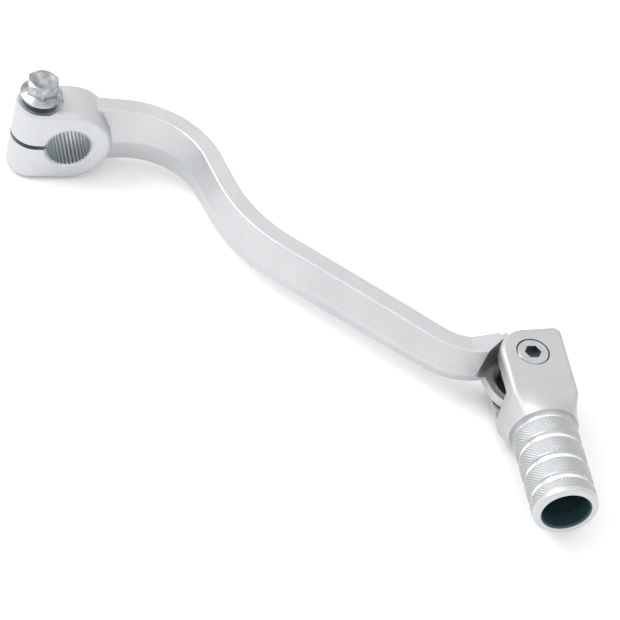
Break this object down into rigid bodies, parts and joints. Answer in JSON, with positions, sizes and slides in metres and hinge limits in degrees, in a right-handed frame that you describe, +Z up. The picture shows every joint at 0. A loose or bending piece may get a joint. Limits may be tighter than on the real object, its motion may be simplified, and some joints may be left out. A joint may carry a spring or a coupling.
{
  "type": "gear shift lever",
  "caption": "Motorcycle gear shift lever: splined split clamp boss, S-bent tapering arm, and a sprung folding tip with a knurled hollow toe peg.",
  "frame": {"origin": "centre of the splined bore, half way through the clamp boss", "axes": "+X from the bore towards the toe tip, -Y outboard away from the engine, +Z up the clamp bolt"},
  "size_m": [0.1362, 0.1417, 0.0312],
  "materials": {
    "forged_alloy": "satin, bead blasted and clear coated",
    "tip_alloy": "satin hub with a bare machined, knurled tube",
    "zinc_steel": "bright zinc plate",
    "screw_steel": "satin zinc plate",
    "washer_steel": "plain steel",
    "bushing_brass": "turned",
    "spring_steel": "dark oiled spring steel"
  },
  "bodies": {
    "lever": {"shift_arm": "forged_alloy", "clamp_bolt": "zinc_steel", "upper_thrust_washer": "washer_steel", "return_spring": "spring_steel"},
    "tip": {"folding_tip": "tip_alloy", "pivot_screw": "screw_steel", "pivot_bushing": "bushing_brass", "lower_thrust_washer": "washer_steel"}
  },
  "joints": [
    {"name": "tip_fold", "type": "hinge", "parent": "lever", "child": "tip", "pos_m": [0.1112, -0.0883, 0], "axis": [0, 0, 1], "range_deg": [-50, 0], "stiffness_Nm_per_rad": 0.3, "springref_deg": 80.21, "deforming": ["return_spring"]}
  ]
}
